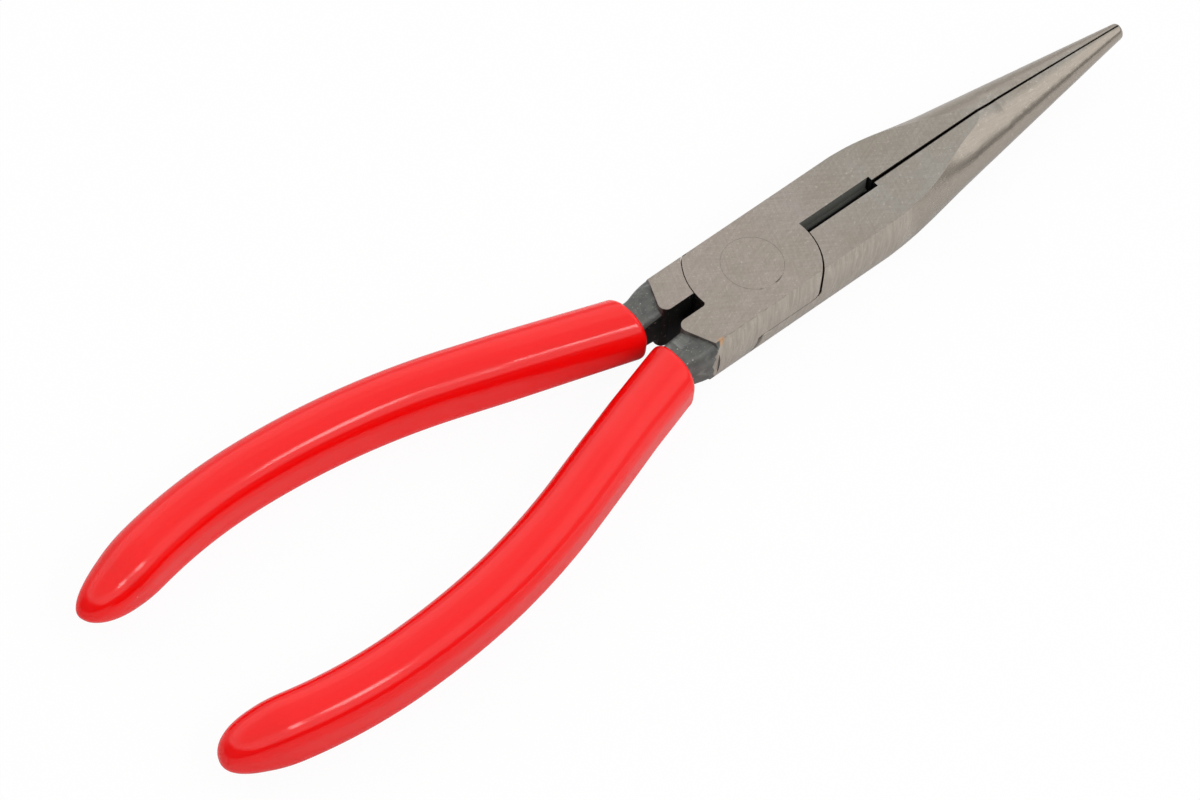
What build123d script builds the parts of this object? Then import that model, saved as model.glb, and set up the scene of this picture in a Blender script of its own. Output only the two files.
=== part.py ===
"""Long-nose pliers with side cutter and dipped handles.

Two drop-forged levers cross in a lap joint on one flush rivet, and each handle
wears a dipped vinyl sleeve.  +X runs from the pivot to the jaw tips, +Y is the
left-hand handle, +Z is the pivot axis.  The origin lies on the pivot axis, in
the ground underside of the joint.  Lengths are in millimetres, angles in
degrees.
"""
from build123d import *
import os
from math import cos, floor, radians, sin, sqrt

os.makedirs("parts", exist_ok=True)

# ------------------------------------------------------------ head and jaws
head_thickness = 9.5        # over the two ground faces
head_width = 17.7           # over the crowned sides, at mid-thickness
side_crown = 1.1            # each side bulges this far past the ground faces
jaw_length = 80.0           # pivot axis to jaw tip
tip_width = 2.5
tip_thickness = 3.0
tip_rounding = 0.6
taper_start = 27.5          # where the sides begin to close on the tip
taper_ease = 6.0            # half-length of the bend there
rounding_start = 24.0       # where the half-round starts to eat into the ground face
rounding_end = 42.0         # from here on the nose is a plain taper
flat_end = 48.0             # where the ground face has run out

# ---------------------------------------------------------------- lap joint
upper_disc_radius = 10.9    # circular shoulder seen on the upper face
lower_disc_radius = 10.3    # the same on the underside
shoulder_clearance = 0.15   # between a disc and the shoulder round it
shoulder_relief = 0.5       # extra room that opens towards the jaw's outer edge
rear_relief = 0.3           # the same behind the lower disc, towards the handle's outer edge
shoulder_fillet = 1.0       # forged corner where shoulder meets lap face
lap_clearance = 0.04        # between the two lap faces

# ------------------------------------------------------------- flush rivet
rivet_radius = 3.6
rivet_head_radius = 5.0
rivet_head_depth = 1.6
running_clearance = 0.03    # round the rivet in the lever that turns on it

# ----------------------------------------------------- cutter and grip faces
cutter_end = 25.5           # square end of the cutter slot, from the pivot
cutter_width = 2.2          # of the slot at the ground face
cutter_wall = 2.35          # depth of the slot's upright walls; the bevels start below them
edge_clearance = 0.02       # from each cutting edge to the centre plane
tip_clearance = 0.03        # from each grip face to the centre plane, at the tip
root_clearance = 0.22       # the same beside the cutter
tooth_pitch = 1.1
tooth_depth = 0.28
tooth_margin = 1.4          # plain strip at each end of the serrations
tooth_border = 0.5          # plain rim between the serrations and the jaw's faces

# ------------------------------------------------------------ neck and tang
handle_gap = 2.8            # between the two necks, behind the joint
gap_corner = 0.7            # inner corner of that gap, beside the disc
neck_face_x = -15.9         # middle of the line where the ground face ends
neck_slant = 24.0           # that line leans from straight across
neck_corner = 1.3           # plan rounding of the ground face, beside the gap
neck_margin = 0.25          # ledge from the ground head down to the forged neck
neck_outer_margin = 0.3     # the same at the outer side
neck_rounding = 2.2         # of the neck's long edges where it leaves the head
neck_lead = 1.6             # the neck's slope starts this far inside the head
neck_length = 4.8           # from the end of the ground face to the straight tang
waist_place = 0.36          # where the slope runs out, as a part of that length
waist_share = 0.8           # of the change from the head's section to the tang's, done there
tang_width = 5.8
tang_thickness = 7.2
tang_corner = 1.6
tang_root_y = 5.0           # tang's centre line where it leaves the neck
tang_angle = 17.8           # of the straight stretch, from the tool's axis
tang_straight = 29.0        # length of the straight stretch
bow_radius = 135.0          # first, slack stretch of the handle's bow
bow_angle = 15.5
hook_radius = 90.0          # second, tighter stretch, to the end
hook_angle = 22.7           # brings the whole tool to 200 mm
tang_end_cover = 7.0        # vinyl beyond the end of the steel

# -------------------------------------------------------------- dipped grip
grip_width = 9.2
grip_thickness = 11.3
grip_front_thickness = 10.0
grip_corner = 4.1
grip_front_x = -20.6        # dip line, square to the tool's axis
grip_front_rounding = 1.1
grip_swell = 21.0           # the sleeve thickens up to here, from the tang's root
grip_front_reach = 3.0      # how far the sleeve's section runs on ahead of the tang's root
grip_dome = 13.7            # length of the rounded end
dome_fullness = 2.2         # 2 is an ellipse in plan, more is fuller
dome_bluntness = 0.64       # the height shrinks later than the width; 1 is alike
grip_point_offset = 0.9     # the end's point sits this far towards the outside

# ------------------------------------------------ sections and helper sizes
sections = 7                # spacings where the head bends into the nose
neck_root_sections = 2      # spacings on the straight tang that steady the neck's slope
dome_turns = (0, 15, 30, 45, 60, 73, 84)    # where the rounded end is sectioned
beyond = 2 * jaw_length     # safely past every surface
half_thickness = head_thickness / 2
half_gap = handle_gap / 2
# half-height of the full oval whose flanks are the head's crowned sides
crown_height = half_thickness / sqrt(1 - (1 - 2 * side_crown / head_width) ** 2)


# ---------------------------------------------------------------- head blank
def nose_half_width(x):
    """Half-width over the crowned sides: parallel, a short bend, a straight taper."""
    slope = (head_width - tip_width) / 2 / (jaw_length - taper_start)
    into_bend = x - (taper_start - taper_ease)
    if into_bend <= 0:
        return head_width / 2
    if into_bend <= 2 * taper_ease:
        return head_width / 2 - slope * into_bend ** 2 / (4 * taper_ease)
    return tip_width / 2 + slope * (jaw_length - x)


def nose_half_height(x):
    """Half-height of the oval whose flanks are the sides at x.

    It is taller than the head while the faces are flat, comes down in a smooth
    step, and then follows the straight taper of the nose.
    """
    slope = (head_thickness - tip_thickness) / 2 / (jaw_length - flat_end)
    if x <= rounding_start:
        return crown_height
    taper = tip_thickness / 2 + slope * (jaw_length - x)
    swell = crown_height - tip_thickness / 2 - slope * (jaw_length - rounding_start)
    share = min(1.0, (x - rounding_start) / (rounding_end - rounding_start))
    return taper + swell * (1 - share ** 2 * (3 - 2 * share))


def across(x):
    """Plane square to the tool's axis at x, drawn with Y across and Z up."""
    return Plane((x, 0, 0), x_dir=(0, 1, 0), z_dir=(1, 0, 0))


def oval(x):
    return across(x) * Ellipse(nose_half_width(x), nose_half_height(x))


def head_blank():
    """Both heads in one: crowned sides, ground faces, half-round nose."""
    rear = neck_face_x - head_width / 2
    first = min(rounding_start, taper_start - taper_ease)
    spacing = (flat_end - first) / sections
    blend = [first + spacing * i for i in range(sections + 2)]
    barrel = extrude(oval(rear), blend[0] - rear)
    shoulder = loft([oval(x) for x in blend])
    nose = loft([oval(blend[-1]), oval(jaw_length)], ruled=True)
    nose = fillet(nose.faces().sort_by(Axis.X)[-1].edges(), tip_rounding)
    solid = barrel + shoulder + nose
    return solid & Box(2 * beyond, beyond, head_thickness)


# ------------------------------------------------------------- handle curves
def handle_path():
    """Centre line of the tang on the -Y side: straight, slack bow, hook."""
    root = Vector(neck_face_x - neck_length, -tang_root_y)
    heading = Vector(-cos(radians(tang_angle)), -sin(radians(tang_angle)))
    straight = Line(root, root + heading * tang_straight)
    bow = JernArc(straight @ 1, straight % 1, bow_radius, -bow_angle)
    hook = JernArc(bow @ 1, bow % 1, hook_radius, -hook_angle)
    return Wire([straight, bow, hook])


path = handle_path()
path_length = path.length


def square_to_path(distance, aside=0.0):
    """Plane square to the handle, its X pointing outwards, aside from the line."""
    along = path % (distance / path_length)
    outward = Vector(-along.Y, along.X)
    origin = path @ (distance / path_length) + outward * aside
    return Plane(origin, x_dir=outward, z_dir=along)


def rounded(plane, width, height, corner):
    return plane * RectangleRounded(width, height, corner)


def bar(width, height, corner, start, end):
    """Bar of one rounded section that follows the handle between two distances."""
    whole = sweep(rounded(square_to_path(0), width, height, corner), path=path)
    return split(split(whole, square_to_path(start), keep=Keep.TOP),
                 square_to_path(end), keep=Keep.BOTTOM)


# --------------------------------------------------------------------- tang
def neck_plane(ahead=0.0):
    """Leaning plane where the ground head ends, and the neck's width in it."""
    inner = half_gap + neck_margin / 2
    outer = head_width / 2 - neck_outer_margin
    lean = radians(neck_slant)
    plane = Plane((neck_face_x + ahead, -(inner + outer) / 2, 0),
                  x_dir=(sin(lean), -cos(lean), 0), z_dir=(-cos(lean), -sin(lean), 0))
    return plane, (outer - inner) / cos(lean)


def tang():
    """Forged neck and tang of the -Y handle, down to its blunt end."""
    plane, width = neck_plane(neck_lead)
    height = head_thickness - 2 * neck_margin
    first = rounded(plane, width, height, neck_rounding)
    end_of_face = neck_plane()[0].origin
    spot = end_of_face + (path @ 0 - end_of_face) * waist_place
    waist = rounded(Plane(spot, x_dir=(0, -1, 0), z_dir=(-1, 0, 0)),
                    width + (tang_width - width) * waist_share,
                    height + (tang_thickness - height) * waist_share, tang_corner)
    neck_end = neck_root_sections * neck_length
    root = [rounded(square_to_path(neck_length * i), tang_width, tang_thickness, tang_corner)
            for i in range(neck_root_sections + 1)]
    neck = loft([first, waist] + root)
    return neck + bar(tang_width, tang_thickness, tang_corner, neck_end,
                      path_length - tang_end_cover)


# --------------------------------------------------------------------- grip
def grip_section(distance):
    """Full outline of the sleeve, square to the handle."""
    return rounded(square_to_path(distance), grip_width, grip_thickness, grip_corner)


def dome_section(start, part):
    """Outline in the rounded end: a superellipse in plan, blunter in height."""
    size = (1 - part ** dome_fullness) ** (1 / dome_fullness)
    return rounded(square_to_path(start + part * grip_dome, grip_point_offset * part ** 2),
                   grip_width * size, grip_thickness * size ** dome_bluntness,
                   grip_corner * size)


def grip_outside():
    """Outer skin of the dipped sleeve on the -Y handle."""
    body_end = path_length - grip_dome
    front = square_to_path(0)
    front_section = rounded(Plane(front.origin - front.z_dir * grip_front_reach,
                                  x_dir=front.x_dir, z_dir=front.z_dir),
                            grip_width, grip_front_thickness, grip_corner)
    body = loft([front_section, grip_section(grip_swell)], ruled=True)
    body = body + bar(grip_width, grip_thickness, grip_corner, grip_swell, body_end)
    rounds = [dome_section(body_end, sin(radians(turn))) for turn in dome_turns]
    skin = body + loft(rounds)
    room_ahead = Pos(grip_front_x + beyond / 2, 0, 0) * Box(beyond, beyond, beyond)
    skin = skin - room_ahead
    front_face = skin.faces().sort_by(Axis.X)[-1]
    return fillet(front_face.edges(), grip_front_rounding)


# ------------------------------------------------------------------- levers
def disc(radius, bottom):
    """Round plate from the given height to the head's face, lower rim rounded."""
    height = half_thickness - bottom
    plate = Pos(0, 0, bottom + height / 2) * Cylinder(radius, height)
    rim = plate.edges().filter_by(GeomType.CIRCLE).sort_by(Axis.Z)[0]
    return fillet(rim, shoulder_fillet)


def disc_room(radius, shift):
    """Cylinder below the lap face, upper rim rounded, grown by the shift that moves it back."""
    depth = head_thickness
    hollow = radius + shoulder_clearance + abs(shift)
    room = Pos(-shift, 0, (lap_clearance - depth) / 2) * Cylinder(hollow, depth)
    return fillet(room.edges().filter_by(GeomType.CIRCLE).sort_by(Axis.Z)[-1], shoulder_fillet)


def shoulder_room(radius, rear_ease):
    """Room for the other lever's disc, eased towards the outer edges."""
    ahead = Pos(beyond / 2, 0, 0) * Box(beyond, beyond, beyond)
    room = disc_room(radius, 0.0) + (disc_room(radius, shoulder_relief) & ahead)
    if rear_ease > 0:
        room = room + (disc_room(radius, -rear_ease) - ahead)
    return room


def grip_face(x):
    """Height of the gripping face above the centre plane, closed jaws."""
    return tip_clearance + (root_clearance - tip_clearance) * (jaw_length - x) / (
        jaw_length - cutter_end)


def jaw_outline():
    """Plan of the +Y jaw: cutting edge, then the gripping face."""
    return make_face(Polyline(
        (0, edge_clearance), (cutter_end, edge_clearance), (cutter_end, grip_face(cutter_end)),
        (beyond, grip_face(beyond)), (beyond, head_width), (0, head_width),
        close=True))


def tooth_grooves():
    """V grooves across the gripping face, each stopping short of the jaw's faces."""
    first_groove = cutter_end + tooth_margin
    count = floor((jaw_length - tooth_margin - first_groove) / tooth_pitch)
    grooves = []
    for i in range(count):
        x = first_groove + (i + 0.5) * tooth_pitch
        surface = grip_face(x)
        side = tooth_pitch / 2
        groove = make_face(Polyline(
            (x - side, surface), (x, surface + tooth_depth), (x + side, surface),
            (x + side, -tooth_depth), (x - side, -tooth_depth), close=True))
        reach = min(half_thickness, nose_half_height(x + side)) - tooth_border
        grooves.append(extrude(groove, reach, both=True))
    return grooves


def cutter_bevels():
    """Steel ground off the +Y jaw on both sides of its cutting edge: slot wall, then bevel."""
    outer = cutter_width / 2
    rise = half_thickness - cutter_wall
    profile = across(0) * make_face(Polyline(
        (-head_width, -head_thickness), (outer, -head_thickness), (outer, -rise),
        (edge_clearance, 0),
        (outer, rise), (outer, head_thickness), (-head_width, head_thickness), close=True))
    return extrude(profile, cutter_end)


def rivet_shape(grow):
    """Shank with a countersunk head at each end, grown all round."""
    head = rivet_head_radius + grow
    shank = rivet_radius + grow
    neck = half_thickness - rivet_head_depth
    return revolve(Plane.XZ * make_face(Polyline(
        (0, -half_thickness), (head, -half_thickness), (shank, -neck),
        (shank, neck), (head, half_thickness), (0, half_thickness), close=True)), Axis.Z)


def lever(blank, own_radius, mate_radius, rear_ease, rivet_room):
    """One lever, plate upwards, with its jaw on +Y and its handle on -Y."""
    jaw = blank & extrude(jaw_outline(), half_thickness, both=True)
    jaw = jaw - cutter_bevels() - tooth_grooves()
    plane, _ = neck_plane()
    behind = plane * (Pos(0, 0, -beyond / 2) * Box(beyond, beyond, beyond))
    strip = Pos(-beyond / 2, -half_gap - beyond / 2, 0) * Box(beyond, beyond, beyond)
    handle_head = blank & strip & behind
    inner_corner = handle_head.edges().filter_by(Axis.Z).sort_by(Axis.X)[0]
    handle_head = fillet(inner_corner, neck_corner)
    sides = (jaw + handle_head) - shoulder_room(mate_radius, rear_ease)
    plate = disc(own_radius, lap_clearance / 2) & blank
    corner = corner_web(own_radius)
    return (sides + plate + corner + tang()) - rivet_room


def corner_web(radius):
    """Rounded inner corner between the disc and the neck beside it."""
    x = -sqrt(radius ** 2 - half_gap ** 2)
    low = lap_clearance / 2 + shoulder_fillet
    web = make_face(Polyline(
        (x - gap_corner, -half_gap), (x + gap_corner, -half_gap),
        (x + gap_corner, gap_corner - half_gap), (x - gap_corner, gap_corner - half_gap),
        close=True))
    hollow = Pos(x - gap_corner, gap_corner - half_gap, 0) * Circle(gap_corner)
    return extrude(Pos(0, 0, low) * (web - hollow), half_thickness - low)


blank = head_blank()
turning = rivet_shape(running_clearance)
tight = rivet_shape(0.0)
right_lever = lever(blank, upper_disc_radius, lower_disc_radius, rear_relief, tight)
left_lever = lever(blank, lower_disc_radius, upper_disc_radius, 0.0, turning)
sleeve = grip_outside() - tang()

turn_over = Rot(180, 0, 0)
lift = Pos(0, 0, half_thickness)
nodes = {
    "left_lever": lift * turn_over * left_lever,
    "right_lever": lift * right_lever,
    "joint_rivet": lift * tight,
    "left_grip": lift * turn_over * sleeve,
    "right_grip": lift * sleeve,
}
for name, shape in nodes.items():
    export_step(shape, f"parts/{name}.step")
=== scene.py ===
"""Long-nose pliers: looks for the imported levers, rivet and dipped grips.

Everything is in metres, in the frame of the CAD: +X to the jaw tips, +Z along
the pivot, the ground underside of the joint at z = 0.
"""
from math import cos, pi, radians, sin

import bpy
import numpy as np
from mathutils import Matrix, Vector


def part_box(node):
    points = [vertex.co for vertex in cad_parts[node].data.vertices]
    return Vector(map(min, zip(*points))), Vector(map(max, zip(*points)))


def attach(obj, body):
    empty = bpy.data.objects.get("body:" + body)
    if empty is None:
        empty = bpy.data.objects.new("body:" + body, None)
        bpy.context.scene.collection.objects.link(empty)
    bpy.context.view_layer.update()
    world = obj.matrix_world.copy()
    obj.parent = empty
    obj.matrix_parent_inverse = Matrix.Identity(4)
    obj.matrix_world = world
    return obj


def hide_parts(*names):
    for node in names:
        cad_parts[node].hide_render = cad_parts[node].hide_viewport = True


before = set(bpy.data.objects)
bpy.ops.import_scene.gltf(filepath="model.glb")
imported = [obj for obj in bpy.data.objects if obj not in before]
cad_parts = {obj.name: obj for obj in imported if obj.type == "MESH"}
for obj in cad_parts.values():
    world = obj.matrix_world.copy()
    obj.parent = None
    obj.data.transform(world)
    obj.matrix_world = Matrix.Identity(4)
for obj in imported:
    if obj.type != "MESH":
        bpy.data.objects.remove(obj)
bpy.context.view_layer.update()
scene = bpy.context.scene
scene.view_settings.view_transform = "Standard"


# ---------------------------------------------------------------- the levers
# Two drop forgings of chrome-vanadium tool steel.  The head and jaws are ground
# bright; the necks and the cutter's slot keep the black oxide of the hardening.
# The solids carry the exact shape, so they stay and get their finish here.
mm = 0.001
mid_plane = 4.75 * mm                   # height of the head's mid-plane; the head is 9.5 mm thick
rivet_edge = 5.0 * mm                   # radius of the rivet's head
lap_reach = 10.5 * mm                   # the lap's seam shows on the flank within this radius
disc_gap = 10.55 * mm                   # middle radius of the gap round the lower disc
flank_from = 7.6 * mm                   # the flanks lie further than this from the centre plane
jaws_from = 25 * mm                     # the gripping faces begin just ahead of this
hot_corner = (-13.6 * mm, -8.3 * mm, 9.4 * mm)  # grinding left temper colour here
face_end_x, face_end_y = 15.9 * mm, 5.05 * mm   # the ground face ends this far behind, aside
face_slant = radians(24)                # of the line where it ends, from straight across
flank_end = -15.2 * mm                  # the belt reached this far back at mid-thickness
flank_round = 1.4 * mm                  # and this much less at the ground faces
gap_reach = 2.1 * mm                    # the gap between the necks, 2.8 mm wide, and its corners
slot_reach = 1.16 * mm                  # the cutter's slot, 2.2 mm wide
slot_middle, slot_half = 17.5 * mm, 8.2 * mm
slot_front = 25.2 * mm                  # its front wall stands just ahead of this


def linear(code):
    """Linear colour of an sRGB hex value."""
    parts = [int(code[i:i + 2], 16) / 255 for i in (1, 3, 5)]
    return tuple(c / 12.92 if c <= 0.04045 else ((c + 0.055) / 1.055) ** 2.4
                 for c in parts) + (1.0,)


def add(tree, kind, inputs, **settings):
    """Add a shader node, set its properties, then link each input or set its value.

    A node or a socket is linked, and a hex string is a colour.  A Mix node takes
    its factor at 0, two numbers at 2 and 3, and two colours at 6 and 7.
    """
    made = tree.nodes.new("ShaderNode" + kind)
    for name, value in settings.items():
        setattr(made, name, value)
    for name, value in inputs.items():
        if isinstance(value, bpy.types.Node):
            value = next(socket for socket in value.outputs if socket.enabled)
        if isinstance(value, bpy.types.NodeSocket):
            tree.links.new(value, made.inputs[name])
        elif isinstance(value, str):
            made.inputs[name].default_value = linear(value)
        else:
            made.inputs[name].default_value = value
    return made


# Ground tool steel: a warm grey metal whose scratches spread the highlights into a satin
# sheen.  Where the forging was left alone it wears black oxide, dark, satin and mottled.
steel = bpy.data.materials.new("ground_tool_steel")
steel.use_nodes = True
tree = steel.node_tree
tree.nodes.clear()
place = add(tree, "TexCoord", {})
spot = place.outputs["Object"]
at = add(tree, "SeparateXYZ", {0: spot})
x, y, z = at.outputs
facing = add(tree, "SeparateXYZ", {0: place.outputs["Normal"]})
wide = add(tree, "Math", {0: y}, operation="ABSOLUTE")          # distance from the centre plane
level = add(tree, "Math", {0: z, 1: mid_plane}, operation="SUBTRACT")
depth = add(tree, "Math", {0: level}, operation="ABSOLUTE")      # distance from mid-thickness
upright = add(tree, "Math", {0: facing.outputs["Z"]}, operation="ABSOLUTE")
flat = add(tree, "MapRange", {"Value": upright, "From Min": 0.95, "From Max": 0.985})
not_flat = add(tree, "Math", {0: 1.0, 1: flat}, operation="SUBTRACT")
in_plan = add(tree, "VectorMath", {0: spot, 1: (1, 1, 0)}, operation="MULTIPLY")
radius = add(tree, "VectorMath", {0: in_plan}, operation="LENGTH").outputs["Value"]

# ground marks on the faces: three sets of scratches, 0.26 to 0.38 mm apart and 3 to 6 mm long
marks = None
for turn, length, spacing in ((18, 6.0, 0.30), (-32, 4.0, 0.26), (66, 3.0, 0.38)):
    drawn = add(tree, "Mapping", {"Vector": spot, "Rotation": (0, 0, radians(turn)),
                                  "Scale": (length * mm, spacing * mm, spacing * mm)},
                vector_type="TEXTURE")
    lines = add(tree, "TexNoise", {"Vector": drawn, "Scale": 1.0, "Detail": 2.0,
                                   "Roughness": 0.6, "Distortion": 0.5})
    marks = lines if marks is None else add(tree, "Math", {0: lines, 1: marks}, operation="ADD")
marks = add(tree, "MapRange", {"Value": marks, "From Min": 1.25, "From Max": 1.75})
# belt marks across the flanks, about 0.6 mm apart, wavy
drawn = add(tree, "Mapping", {"Vector": spot, "Rotation": (0, radians(12), 0),
                              "Scale": (0.6 * mm, 5 * mm, 5 * mm)}, vector_type="TEXTURE")
streaks = add(tree, "TexNoise", {"Vector": drawn, "Scale": 1.0, "Detail": 3.0,
                                 "Roughness": 0.6, "Distortion": 1.4})
streaks = add(tree, "MapRange", {"Value": streaks, "From Min": 0.36, "From Max": 0.64})
# fine lines along the nose, 0.2 mm apart and 40 mm long
drawn = add(tree, "Mapping", {"Vector": spot, "Scale": (40 * mm, 0.2 * mm, 0.2 * mm)},
            vector_type="TEXTURE")
brushed = add(tree, "TexNoise", {"Vector": drawn, "Scale": 1.0, "Detail": 2.0, "Roughness": 0.6})
brushed = add(tree, "MapRange", {"Value": brushed, "From Min": 0.25, "From Max": 0.75})
# the nose is finished lengthwise from 27 mm on; the flanks behind it across
nose = add(tree, "MapRange", {"Value": x, "From Min": 26 * mm, "From Max": 28 * mm})
grind = add(tree, "Mix", {0: nose, 2: streaks, 3: brushed})
grind = add(tree, "Mix", {0: flat, 2: grind, 3: marks})

# bright steel: warm grey, clouded over 9 mm, darker in the scratches
clouds = add(tree, "TexNoise", {"Vector": spot, "Scale": 1 / (9 * mm), "Detail": 2.0})
clouds = add(tree, "MapRange", {"Value": clouds, "From Min": 0.35, "From Max": 0.65})
head = add(tree, "Mix", {0: clouds, 6: "#A39991", 7: "#9D948A"}, data_type="RGBA")
jaw = add(tree, "Mix", {0: clouds, 6: "#9B9790", 7: "#979086"}, data_type="RGBA")
forward = add(tree, "MapRange", {"Value": x, "From Min": 4 * mm, "From Max": 26 * mm})
bright = add(tree, "Mix", {0: forward, 6: head, 7: jaw}, data_type="RGBA")
# the belt leaves the flanks and the nose lighter than the ground faces
belted = add(tree, "Mix", {0: nose, 6: "#B8AFA4", 7: "#AAA196"}, data_type="RGBA")
bright = add(tree, "Mix", {0: flat, 6: belted, 7: bright}, data_type="RGBA")
shade = add(tree, "Math", {0: grind, 1: 0.28}, operation="MULTIPLY")
bright = add(tree, "Mix", {0: shade, 6: bright, 7: "#80766B"}, data_type="RGBA")
# pale flecks, up to 0.5 mm across
flecks = add(tree, "TexNoise", {"Vector": spot, "Scale": 1 / (0.5 * mm), "Detail": 2.0,
                                "Roughness": 0.7})
flecks = add(tree, "MapRange", {"Value": flecks, "From Min": 0.60, "From Max": 0.74,
                                "To Max": 0.45})
bright = add(tree, "Mix", {0: flecks, 6: bright, 7: "#CFC8BE"}, data_type="RGBA")

# hairline round the rivet's head, 0.1 to 0.3 mm wide: clear on the -Y side, nearly gone
# elsewhere, and broken every millimetre or so
off_line = add(tree, "Math", {0: radius, 1: rivet_edge}, operation="SUBTRACT")
off_line = add(tree, "Math", {0: off_line}, operation="ABSOLUTE")
ring = add(tree, "MapRange", {"Value": off_line, "From Min": 0.16 * mm, "From Max": 0.05 * mm})
clear = add(tree, "MapRange", {"Value": y, "From Min": -4.2 * mm, "From Max": -4.7 * mm,
                               "To Min": 0.05, "To Max": 0.7})
broken = add(tree, "TexNoise", {"Vector": spot, "Scale": 1 / (1.3 * mm), "Detail": 1.0})
broken = add(tree, "MapRange", {"Value": broken, "From Min": 0.38, "From Max": 0.55})
for share in (clear, broken, flat):
    ring = add(tree, "Math", {0: ring, 1: share}, operation="MULTIPLY")
# where the two levers meet on the flank: a seam at mid-thickness, as far as the discs reach
seam = add(tree, "MapRange", {"Value": depth, "From Min": 0.14 * mm, "From Max": 0.04 * mm,
                              "To Max": 0.75})
inside = add(tree, "Math", {0: radius, 1: lap_reach}, operation="LESS_THAN")
seam = add(tree, "Math", {0: seam, 1: inside}, operation="MULTIPLY")
# then painted shade in the gap behind the other lever's disc, 10.3 to 10.8 mm from the
# pivot: below mid-thickness on the -Y side and above it on the +Y side
from_disc = add(tree, "Math", {0: radius, 1: disc_gap}, operation="SUBTRACT")
from_disc = add(tree, "Math", {0: from_disc}, operation="ABSOLUTE")
gap_shade = add(tree, "MapRange", {"Value": from_disc, "From Min": 0.34 * mm, "From Max": 0.16 * mm,
                               "To Max": 0.9})
gap_side = add(tree, "Math", {0: level, 1: y}, operation="MULTIPLY")
gap_side = add(tree, "Math", {0: gap_side, 1: 0.0}, operation="GREATER_THAN")
behind_pivot = add(tree, "Math", {0: x, 1: 0.0}, operation="LESS_THAN")
for share in (gap_side, behind_pivot):
    gap_shade = add(tree, "Math", {0: gap_shade, 1: share}, operation="MULTIPLY")
seam = add(tree, "Math", {0: seam, 1: gap_shade}, operation="MAXIMUM")
on_flank = add(tree, "Math", {0: wide, 1: flank_from}, operation="GREATER_THAN")
seam = add(tree, "Math", {0: seam, 1: on_flank}, operation="MULTIPLY")
# painted shade along the jaws' meeting edges, 0.33 mm wide on each and thinner towards the
# tip, and on their gripping faces, the more the further these lie from the centre plane
jaw_edge = add(tree, "MapRange", {"Value": x, "From Min": 30 * mm, "From Max": 72 * mm,
                                  "To Min": 0.33 * mm, "To Max": 0.15 * mm})
jaw_edge = add(tree, "Math", {0: wide, 1: jaw_edge}, operation="LESS_THAN")
sideways = add(tree, "Math", {0: facing.outputs["Y"]}, operation="ABSOLUTE")
not_inner = add(tree, "Math", {0: sideways, 1: 0.7}, operation="LESS_THAN")
jaw_edge = add(tree, "Math", {0: jaw_edge, 1: not_inner}, operation="MULTIPLY")
inward = add(tree, "Math", {0: facing.outputs["Y"], 1: y}, operation="MULTIPLY")
groove = add(tree, "MapRange", {"Value": inward, "From Min": -0.04 * mm, "From Max": -0.12 * mm,
                                "To Max": 0.8})
jaw_edge = add(tree, "Math", {0: jaw_edge, 1: groove}, operation="MAXIMUM")
jaws = add(tree, "Math", {0: x, 1: jaws_from}, operation="GREATER_THAN")
jaw_edge = add(tree, "Math", {0: jaw_edge, 1: jaws}, operation="MULTIPLY")
seam = add(tree, "Math", {0: seam, 1: jaw_edge}, operation="MAXIMUM")
# dark lines: rivet hairline and lap seam, plus painted shade at the disc gap and the jaws
dark_line = add(tree, "Math", {0: ring, 1: seam}, operation="MAXIMUM")
# burr along the edge between face and flank, over the rear half of the head
burr = add(tree, "MapRange", {"Value": depth, "From Min": mid_plane - 0.25 * mm,
                              "From Max": mid_plane - 0.07 * mm, "To Max": 0.55})
burr_end = add(tree, "MapRange", {"Value": x, "From Min": 4 * mm, "From Max": -2 * mm})
for share in (burr_end, not_flat, broken):
    burr = add(tree, "Math", {0: burr, 1: share}, operation="MULTIPLY")
bright = add(tree, "Mix", {0: burr, 6: bright, 7: "#7D6A58"}, data_type="RGBA")
# 2E2A26 darkens the hairline and seam, and is painted shade at the disc gap and jaws
bright = add(tree, "Mix", {0: dark_line, 6: bright, 7: "#2E2A26"}, data_type="RGBA")
# temper colour on one corner of the head, about 1.5 mm across
from_corner = add(tree, "VectorMath", {0: spot, 1: hot_corner}, operation="DISTANCE")
temper = add(tree, "MapRange", {"Value": from_corner.outputs["Value"], "From Min": 1.1 * mm,
                                "From Max": 0.3 * mm, "To Max": 0.85})
temper = add(tree, "Math", {0: temper, 1: broken}, operation="MULTIPLY")
bright = add(tree, "Mix", {0: temper, 6: bright, 7: "#D59B5E"}, data_type="RGBA")

# black oxide begins where the ground face ends, and on the flank at a line that wanders by
# 0.4 mm every 2 mm and bulges back at mid-thickness, as far as the belt reached there
wander = add(tree, "TexNoise", {"Vector": spot, "Scale": 1 / (2.2 * mm), "Detail": 1.0})
wander = add(tree, "MapRange", {"Value": wander, "From Min": 0.3, "From Max": 0.7,
                                "To Min": -0.4 * mm, "To Max": 0.4 * mm})
bulge = add(tree, "Math", {0: level, 1: level}, operation="MULTIPLY")
flank_border = add(tree, "Math", {0: bulge, 1: flank_round / mid_plane ** 2, 2: flank_end},
                   operation="MULTIPLY_ADD")
behind_flank = add(tree, "Math", {0: flank_border, 1: x}, operation="SUBTRACT")
behind_flank = add(tree, "Math", {0: behind_flank, 1: wander}, operation="ADD")
backward = add(tree, "VectorMath", {0: spot, 1: (-cos(face_slant), 0, 0)},
               operation="DOT_PRODUCT")
behind_face = add(tree, "Math", {0: wide, 1: sin(face_slant), 2: backward.outputs["Value"]},
                  operation="MULTIPLY_ADD")
face_line = face_end_x * cos(face_slant) + face_end_y * sin(face_slant)
behind_face = add(tree, "Math", {0: behind_face, 1: face_line}, operation="SUBTRACT")
behind = add(tree, "Mix", {0: flat, 2: behind_flank, 3: behind_face})
oxide = add(tree, "MapRange", {"Value": behind, "From Min": -0.1 * mm, "From Max": 0.1 * mm})
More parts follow.
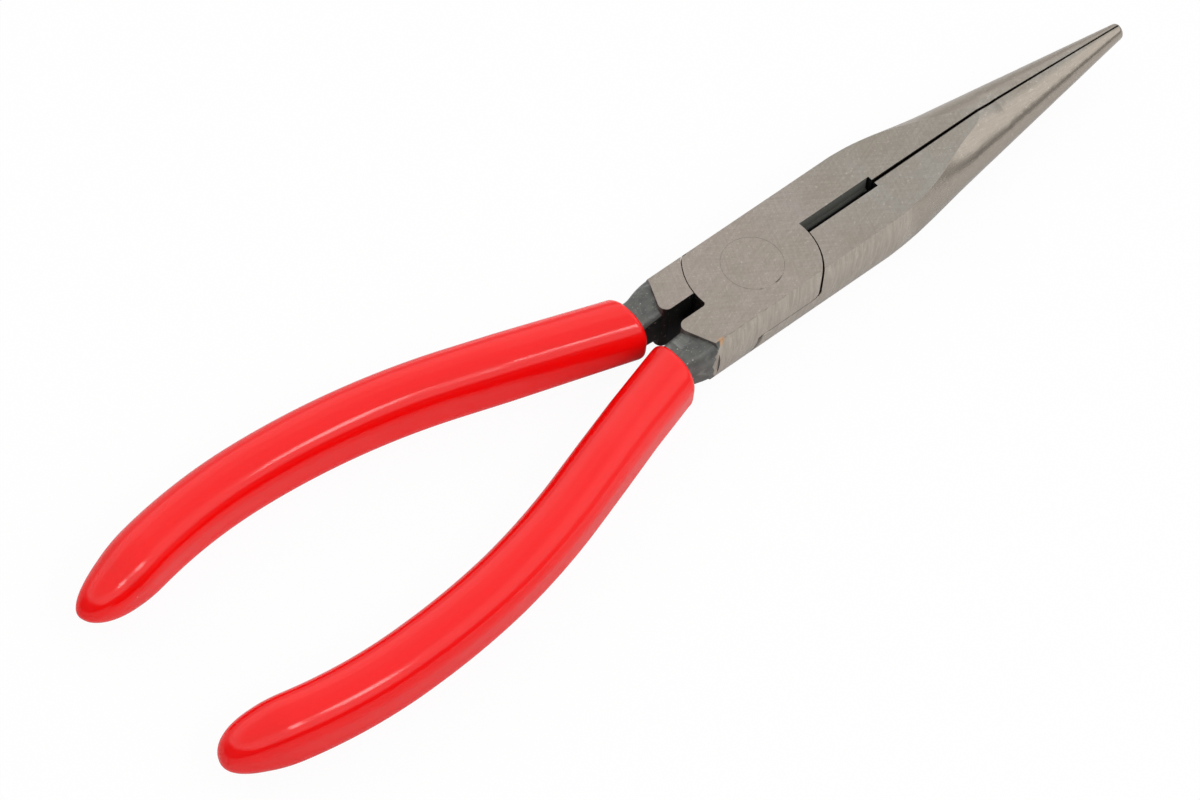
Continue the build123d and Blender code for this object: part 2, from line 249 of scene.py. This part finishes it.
# the wall of the ledge down to the neck is oxide too, but worn bright at its rim
ledge = add(tree, "Math", {0: facing.outputs["X"], 1: -0.75}, operation="LESS_THAN")
far_back = add(tree, "Math", {0: x, 1: -13 * mm}, operation="LESS_THAN")
unworn = add(tree, "MapRange", {"Value": depth, "From Min": mid_plane - 0.07 * mm,
                                "From Max": mid_plane - 0.15 * mm})
for share in (far_back, unworn):
    ledge = add(tree, "Math", {0: ledge, 1: share}, operation="MULTIPLY")
# the walls of the gap between the necks are left as forged, and are painted nearly black as shade
gap = add(tree, "Math", {0: wide, 1: gap_reach}, operation="LESS_THAN")
behind_joint = add(tree, "Math", {0: x, 1: -8 * mm}, operation="LESS_THAN")
for share in (behind_joint, not_flat):
    gap = add(tree, "Math", {0: gap, 1: share}, operation="MULTIPLY")
# the cutter's slot, from the disc to its front wall: oxide walls over bevels in painted shade;
# its front wall is painted shade too
slot = add(tree, "Math", {0: wide, 1: slot_reach}, operation="LESS_THAN")
slot_length = add(tree, "Math", {0: x, 1: slot_middle, 2: slot_half}, operation="COMPARE")
for share in (slot_length, not_flat):
    slot = add(tree, "Math", {0: slot, 1: share}, operation="MULTIPLY")
bevel = add(tree, "MapRange", {"Value": depth, "From Min": 1.9 * mm, "From Max": 1.6 * mm})
bevel = add(tree, "Math", {0: bevel, 1: slot}, operation="MULTIPLY")
slot_end = add(tree, "Math", {0: x, 1: slot_front}, operation="GREATER_THAN")
slot_end = add(tree, "Math", {0: slot_end, 1: slot}, operation="MULTIPLY")
for covered in (ledge, slot, gap):
    oxide = add(tree, "Math", {0: oxide, 1: covered}, operation="MAXIMUM")
# painted shade, nearly black: the gap's walls, the slot's bevels and its front wall
painted_shade = gap
for shaded_mask in (bevel, slot_end):
    painted_shade = add(tree, "Math", {0: painted_shade, 1: shaded_mask}, operation="MAXIMUM")

# oxide colour: dark grey, mottled over 1.4 mm, with rubbed patches 2.6 mm across and pale
# specks of 0.35 mm; paler on the slot's walls, and painted shade, nearly black, deep inside
mottle = add(tree, "TexNoise", {"Vector": spot, "Scale": 1 / (1.4 * mm), "Detail": 3.0,
                                "Roughness": 0.6})
mottle = add(tree, "MapRange", {"Value": mottle, "From Min": 0.35, "From Max": 0.65})
black = add(tree, "Mix", {0: mottle, 6: "#4A4C49", 7: "#5D5F5A"}, data_type="RGBA")
rubbed = add(tree, "TexNoise", {"Vector": spot, "Scale": 1 / (2.6 * mm), "Detail": 4.0,
                                "Roughness": 0.65, "Distortion": 0.8})
rubbed = add(tree, "MapRange", {"Value": rubbed, "From Min": 0.54, "From Max": 0.70,
                                "To Max": 0.6})
specks = add(tree, "TexNoise", {"Vector": spot, "Scale": 1 / (0.35 * mm), "Detail": 1.0})
specks = add(tree, "MapRange", {"Value": specks, "From Min": 0.69, "From Max": 0.77,
                                "To Max": 0.7})
for cover, colour in ((rubbed, "#8E918C"), (slot, "#6E6F6A"), (painted_shade, "#141413"),
                      (specks, "#B9B8B2")):
    black = add(tree, "Mix", {0: cover, 6: black, 7: colour}, data_type="RGBA")

# finish: the scratches make the steel rougher or smoother, and the oxide is satin
colour = add(tree, "Mix", {0: oxide, 6: bright, 7: black}, data_type="RGBA")
metal = add(tree, "Math", {0: 1.0, 1: oxide}, operation="SUBTRACT")
steel_rough = add(tree, "MapRange", {"Value": grind, "To Min": 0.27, "To Max": 0.42})
nose_rough = add(tree, "MapRange", {"Value": brushed, "To Min": 0.18, "To Max": 0.26})
# the polish builds up towards the tip, and the +Y jaw got little of it
polished = add(tree, "MapRange", {"Value": x, "From Min": 24 * mm, "From Max": 42 * mm})
polished_side = add(tree, "MapRange", {"Value": y, "From Min": -0.5 * mm, "From Max": 0.5 * mm,
                                       "To Min": 1.0, "To Max": 0.15})
for share in (polished_side, not_flat):
    polished = add(tree, "Math", {0: polished, 1: share}, operation="MULTIPLY")
steel_rough = add(tree, "Mix", {0: polished, 2: steel_rough, 3: nose_rough})
rough = add(tree, "Mix", {0: oxide, 2: steel_rough, 3: 0.42})
# scratches and forged skin stand up to 0.02 mm proud, over edges broken by 0.1 mm
relief = add(tree, "Mix", {0: oxide, 2: grind, 3: mottle})
soft_edge = add(tree, "Bevel", {"Radius": 0.1 * mm}, samples=6)
bump = add(tree, "Bump", {"Strength": 0.3, "Distance": 0.02 * mm, "Height": relief,
                          "Normal": soft_edge})
surface = add(tree, "BsdfPrincipled", {"Base Color": colour, "Metallic": metal,
                                       "Roughness": rough, "Normal": bump})
add(tree, "OutputMaterial", {"Surface": surface})

for node in ("left_lever", "right_lever"):
    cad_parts[node].data.materials.clear()
    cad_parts[node].data.materials.append(steel)


# ----------------------------------------------------------------- the rivet
# A steel pin, closed cold into countersinks and ground in one pass with the
# plate, so it carries the same marks and only a broken hairline shows round it.
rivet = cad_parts["joint_rivet"]
rivet.data.materials.clear()
rivet.data.materials.append(steel)


# ----------------------------------------------------------------- the grips
# Soft vinyl, built up by dipping each hot tang into liquid plastisol.  The skin
# is glossy, thicker at the rear, lipped at the dip line and rounded at the end.
tang_angle = radians(17.8)              # of the straight tang, from the tool's axis
start_x, start_y = -20.7 * mm, -5.0 * mm    # first point of the right-hand handle's line
dip_line = -20.6 * mm                   # the vinyl begins here, square to the tool's axis
# length and curvature of each stretch of that line: straight, slack bow, tighter hook
stretches = ((29.0 * mm, 0.0), (135 * mm * radians(15.5), -1 / (135 * mm)),
             (90 * mm * radians(22.7), -1 / (90 * mm)))
# the left-hand sleeve drained to a longer, finer end than the right-hand one
sleeves = {"right": {"length": 101.11 * mm, "dome": 12.5 * mm, "blunt": 2.4, "droop": 0.43,
                     "lean_out": 0.9 * mm, "shift": 0.7 * mm},
           "left": {"length": 100.92 * mm, "dome": 14.1 * mm, "blunt": 2.25, "droop": 0.52,
                    "lean_out": 1.3 * mm, "shift": 0.0}}


def handle_line(distance):
    """Point and heading along the handle: straight, then two arcs, each in closed form.

    Heading h is constant on the straight, and h + k*s on an arc of curvature k,
    so x grows by (sin h2 - sin h1) / k and y by -(cos h2 - cos h1) / k.  The
    straight also runs on up to 5 mm ahead of its first point.
    """
    px = np.full(distance.shape, start_x)
    py = np.full(distance.shape, start_y)
    heading = np.full(distance.shape, pi + tang_angle)
    start = 0.0
    for length, bend in stretches:
        part = np.clip(distance - start, -5 * mm if start == 0 else 0.0, length)
        if bend == 0:
            px = px + part * np.cos(heading)
            py = py + part * np.sin(heading)
        else:
            turned = heading + bend * part
            px = px + (np.sin(turned) - np.sin(heading)) / bend
            py = py - (np.cos(turned) - np.cos(heading)) / bend
            heading = turned
        start += length
    return px, py, heading


def rounded_outline(width, height, corner, turn):
    """Rounded rectangle; a quarter turn spends its middle half on the corner's arc."""
    quarter = np.floor(turn / (pi / 2))
    share = turn / (pi / 2) - quarter
    angle = np.clip((share - 0.25) / 0.5, 0, 1) * pi / 2
    swap = quarter % 2 == 1
    half_a = np.where(swap, height, width) / 2
    half_b = np.where(swap, width, height) / 2
    a = half_a - corner + corner * np.cos(angle)
    b = half_b - corner + corner * np.sin(angle)
    a = np.where(share > 0.75, (half_a - corner) * (1 - share) / 0.25, a)
    b = np.where(share < 0.25, (half_b - corner) * share / 0.25, b)
    c, s = np.cos(quarter * pi / 2), np.sin(quarter * pi / 2)
    return a * c - b * s, a * s + b * c


def sleeve_mesh(name, flip, length, dome, blunt, droop, lean_out, shift):
    """Skin of a sleeve: rows of the rounded outline, carried along the handle.

    The rows run out of the bore, round the lip, along the skin and over the end.
    Over the end, t goes from 0 to 1 along the dome: width follows
    (1 - t^blunt)^(1/blunt), height (1 - t^2)^droop, and the point leans outwards
    by lean_out * t^3.  At the dip line the sleeve sits outwards by shift, which
    fades away over 66 mm.
    """
    around = 128
    turn = (np.arange(around) / around * 2 * pi)[None, :]
    width, corner, lip = 9.18 * mm, 4.1 * mm, 1.1 * mm
    front_height, rear_height = 10 * mm, 11.3 * mm
    bore_width, bore_height, bore_corner = 5.76 * mm, 7.16 * mm, 1.58 * mm
    dome_start = length - dome
    # where the rows lie: in the bore, which ends 7 mm short, round the lip, along the skin
    # and over the end
    bore = np.linspace(length - 7 * mm, 0, 30)
    edge = np.linspace(0, pi / 2, 10)
    skin = np.linspace(lip, dome_start, 150)[1:]
    end = np.sin(np.linspace(0, pi / 2, 48)[1:-1])
    shrink = lip * (1 - np.sin(edge))
    size = (1 - end ** blunt) ** (1 / blunt)
    squat = (1 - end ** 2) ** droop
    tall = np.interp(skin, (-3 * mm, 21 * mm), (front_height, rear_height))
    end_width, end_height = width * size, tall[-1] * squat
    reach = np.concatenate([bore, lip * (1 - np.cos(edge)), skin, dome_start + dome * end])
    across = np.concatenate([bore_width + 0 * bore, width - 2 * shrink, width + 0 * skin,
                             end_width])
    upward = np.concatenate([bore_height + 0 * bore, tall[0] - 2 * shrink, tall, end_height])
    # towards the point the corner stays just under half of the smaller side
    bend = np.concatenate([bore_corner + 0 * bore, corner - shrink, corner + 0 * skin,
                           np.minimum(corner, np.minimum(end_width, end_height) * 0.48)])
    pushed = shift * np.interp(skin, (0, 12 * mm, 48 * mm, 66 * mm), (1.0, 0.5, 0.4, 0.0))
    aside = np.concatenate([0 * bore, shift + 0 * edge, pushed, lean_out * end ** 3])
    reach = reach[:, None]
    out, rise = rounded_outline(across[:, None], upward[:, None], bend[:, None], turn)
    out = out + aside[:, None]
    # at the dip line the rows lie square to the tool, 14 mm on they are square to the handle
    settle = np.clip(reach / (14 * mm), 0, 1)
    lean = (start_x - dip_line + out * sin(tang_angle)) / cos(tang_angle)
    px, py, heading = handle_line(reach + lean * (1 - settle ** 2 * (3 - 2 * settle)))
    points = np.stack([px - out * np.sin(heading), py + out * np.cos(heading),
                       mid_plane + rise], -1).reshape(-1, 3)
    # two more points close the skin: the end's point, and the middle of the bore's floor
    tip_x, tip_y, tip_heading = handle_line(np.array([length, bore[0]]))
    poles = np.stack([tip_x - [lean_out, 0] * np.sin(tip_heading),
                      tip_y + [lean_out, 0] * np.cos(tip_heading), [mid_plane] * 2], -1)
    points = np.concatenate([points, poles])
    if flip:
        points = points * (1, -1, -1) + (0, 0, 2 * mid_plane)
    i, j = np.meshgrid(np.arange(len(reach) - 1) * around, np.arange(around), indexing="ij")
    k = (j + 1) % around
    quads = np.stack([i + j, i + k, i + around + k, i + around + j], -1).reshape(-1, 4)
    last = (len(reach) - 1) * around
    tip = [(last + n, last + (n + 1) % around, len(points) - 2) for n in range(around)]
    floor_of_bore = [((n + 1) % around, n, len(points) - 1) for n in range(around)]
    mesh = bpy.data.meshes.new(name)
    mesh.from_pydata(points.tolist(), [], quads.tolist() + tip + floor_of_bore)
    mesh.polygons.foreach_set("use_smooth", [True] * len(mesh.polygons))
    return mesh


# Dipped vinyl: a glossy skin that runs smooth as it sets, so its highlights are long and
# crisp.  Light strays 2 mm inside it, which keeps its shaded sides a full red.
vinyl = bpy.data.materials.new("dipped_vinyl")
vinyl.use_nodes = True
tree = vinyl.node_tree
tree.nodes.clear()
spot = add(tree, "TexCoord", {}).outputs["Object"]
# colour drifts a little over 2 cm; dust and pinholes 0.2 to 0.3 mm across, about 7 mm apart
drift = add(tree, "TexNoise", {"Vector": spot, "Scale": 1 / (20 * mm), "Detail": 1.0})
red = add(tree, "Mix", {0: drift, 6: "#FF0E09", 7: "#FC0B12"}, data_type="RGBA")
dust = add(tree, "TexVoronoi", {"Vector": spot, "Scale": 1 / (7 * mm)})
dust = add(tree, "MapRange", {"Value": dust.outputs["Distance"], "From Min": 0.022,
                              "From Max": 0.012, "To Max": 0.5})
red = add(tree, "Mix", {0: dust, 6: red, 7: "#FFA79A"}, data_type="RGBA")
# the skin sagged a little while it set: waves 9 mm long, and a fine orange peel of 0.9 mm
waves = add(tree, "TexNoise", {"Vector": spot, "Scale": 1 / (9 * mm), "Detail": 1.0})
peel = add(tree, "TexNoise", {"Vector": spot, "Scale": 1 / (0.9 * mm), "Detail": 1.0})
ripples = add(tree, "Math", {0: peel, 1: 0.006, 2: waves}, operation="MULTIPLY_ADD")
ripples = add(tree, "Math", {0: dust, 1: 0.1, 2: ripples}, operation="MULTIPLY_ADD")
bump = add(tree, "Bump", {"Strength": 1.0, "Distance": 0.08 * mm, "Height": ripples})
surface = add(tree, "BsdfPrincipled", {"Base Color": red, "Roughness": 0.13, "IOR": 1.46,
                                       "Subsurface Weight": 0.6, "Subsurface Scale": 2 * mm,
                                       "Subsurface Radius": (1.0, 0.2, 0.1), "Normal": bump})
add(tree, "OutputMaterial", {"Surface": surface})

# the left-hand handle is the right-hand one turned over about the tool's axis
for side, shape in sleeves.items():
    mesh = sleeve_mesh(side + "_sleeve", side == "left", **shape)
    sleeve = bpy.data.objects.new(side + "_sleeve", mesh)
    scene.collection.objects.link(sleeve)
    sleeve.data.materials.append(vinyl)
    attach(sleeve, side + "_handle")
    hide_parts(side + "_grip")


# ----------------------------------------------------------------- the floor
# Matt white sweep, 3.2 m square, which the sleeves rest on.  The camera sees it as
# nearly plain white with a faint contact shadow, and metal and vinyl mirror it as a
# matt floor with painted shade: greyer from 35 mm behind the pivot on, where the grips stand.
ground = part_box("left_grip")[0].z
half = 1.6
floor_mesh = bpy.data.meshes.new("floor")
floor_mesh.from_pydata([(-half, -half, ground), (half, -half, ground), (half, half, ground),
                        (-half, half, ground)], [], [(0, 1, 2, 3)])
floor = bpy.data.objects.new("floor", floor_mesh)
scene.collection.objects.link(floor)
white = bpy.data.materials.new("white_floor")
white.use_nodes = True
tree = white.node_tree
tree.nodes.clear()
ray = add(tree, "LightPath", {})
spot = add(tree, "TexCoord", {}).outputs["Object"]
at = add(tree, "SeparateXYZ", {0: spot})
# painted shade for reflections: from 10 to 35 mm behind the pivot the floor turns greyer
rearward = add(tree, "MapRange", {"Value": at.outputs["X"], "From Min": -10 * mm,
                                  "From Max": -35 * mm})
mirrored = add(tree, "Math", {0: ray.outputs["Is Glossy Ray"], 1: rearward}, operation="MULTIPLY")
paint = add(tree, "Mix", {0: mirrored, 6: "#F0F0F0", 7: "#CACACA"}, data_type="RGBA")
matt = add(tree, "BsdfDiffuse", {"Color": paint})
plain = add(tree, "Emission", {"Color": (1, 1, 1, 1), "Strength": 1.0})
seen = add(tree, "Math", {0: ray.outputs["Is Camera Ray"], 1: 0.95}, operation="MULTIPLY")
both = add(tree, "MixShader", {0: seen, 1: matt, 2: plain})
add(tree, "OutputMaterial", {"Surface": both})
floor_mesh.materials.append(white)


# ----------------------------------------------------------------- the light
# A white room, bright between 25 and 47 degrees up, a little dimmer overhead, and dark
# along the horizon on two unlit sides: -Y, beside the right-hand grip, and -X, behind
# the handles.  Two small lamps make the streaks on the vinyl.
room_level = 1.62                                   # of the bright band
overhead_drop = 0.60                                # how much dimmer it is overhead
unlit = radians(-12)                                # middle of the dark side, turned from -Y
world = bpy.data.worlds.new("studio")
scene.world = world
world.use_nodes = True
tree = world.node_tree
tree.nodes.clear()
ray = add(tree, "LightPath", {})
way = add(tree, "TexCoord", {}).outputs["Generated"]
up = add(tree, "SeparateXYZ", {0: way}).outputs["Z"]
toward = add(tree, "VectorMath", {0: way, 1: (sin(unlit), -cos(unlit), 0)},
             operation="DOT_PRODUCT").outputs["Value"]
horizon = add(tree, "MapRange", {"Value": toward, "From Min": 0.35, "From Max": 0.9,
                                 "To Min": 0.7, "To Max": 0.08}, interpolation_type="SMOOTHSTEP")
# on the -X side the horizon is dark too, and the dark reaches 45 degrees up
behind = add(tree, "VectorMath", {0: way, 1: (-1, 0, 0)}, operation="DOT_PRODUCT")
behind = add(tree, "MapRange", {"Value": behind.outputs["Value"], "From Min": 0.35,
                                "From Max": 0.8}, interpolation_type="SMOOTHSTEP")
dimmed = add(tree, "Math", {0: behind, 1: 0.9}, operation="MULTIPLY")
horizon = add(tree, "Mix", {0: dimmed, 2: horizon, 3: 0.15})
lift = add(tree, "Math", {0: behind, 1: sin(radians(45)) - sin(radians(20))},
           operation="MULTIPLY")
risen = add(tree, "Math", {0: up, 1: lift}, operation="SUBTRACT")
rise = add(tree, "MapRange", {"Value": risen, "From Min": sin(radians(14)),
                              "From Max": sin(radians(25))}, interpolation_type="SMOOTHSTEP")
fall = add(tree, "MapRange", {"Value": up, "From Min": sin(radians(47)),
                              "From Max": sin(radians(62)), "To Max": overhead_drop},
           interpolation_type="SMOOTHSTEP")
room = add(tree, "Mix", {0: rise, 2: horizon, 3: room_level})
room = add(tree, "Math", {0: room, 1: fall}, operation="SUBTRACT")
# the camera sees plain white behind the floor
room = add(tree, "Mix", {0: ray.outputs["Is Camera Ray"], 2: room, 3: 1.0})
add(tree, "OutputWorld", {"Surface": add(tree, "Background", {"Strength": room})})

distance, radiance = 1.2, 7                         # of each lamp; its power follows its area
for name, azimuth, elevation in (("left_lamp", -5, 50), ("right_lamp", 18, 50)):
    lamp = bpy.data.lights.new(name, "AREA")
    lamp.shape = "RECTANGLE"
    lamp.size, lamp.size_y = 0.18, 0.25
    lamp.energy = radiance * pi * lamp.size * lamp.size_y
    holder = bpy.data.objects.new(name, lamp)
    scene.collection.objects.link(holder)
    a, e = radians(azimuth), radians(elevation)
    outward = Vector((sin(a) * cos(e), -cos(a) * cos(e), sin(e)))
    holder.location = outward * distance
    holder.rotation_euler = outward.to_track_quat("Z", "Y").to_euler()


# ---------------------------------------------------------------- the camera
# Seen from behind the right-hand grip, 54 degrees up, with a long lens.
azimuth, elevation, roll = radians(-48.0245), radians(54.2685), radians(7.7845)
back = Vector((sin(azimuth) * cos(elevation), -cos(azimuth) * cos(elevation), sin(elevation)))
right = Vector((0, 0, 1)).cross(back).normalized()
above = back.cross(right)
right, above = cos(roll) * right + sin(roll) * above, cos(roll) * above - sin(roll) * right
lens = bpy.data.cameras.new("camera")
lens.lens = 205.03
lens.sensor_width = 36.0
camera = bpy.data.objects.new("camera", lens)
camera.matrix_world = Matrix((right, above, back)).transposed().to_4x4()
camera.location = Vector((-0.48395, -0.40802, 0.84781))
scene.collection.objects.link(camera)
scene.camera = camera
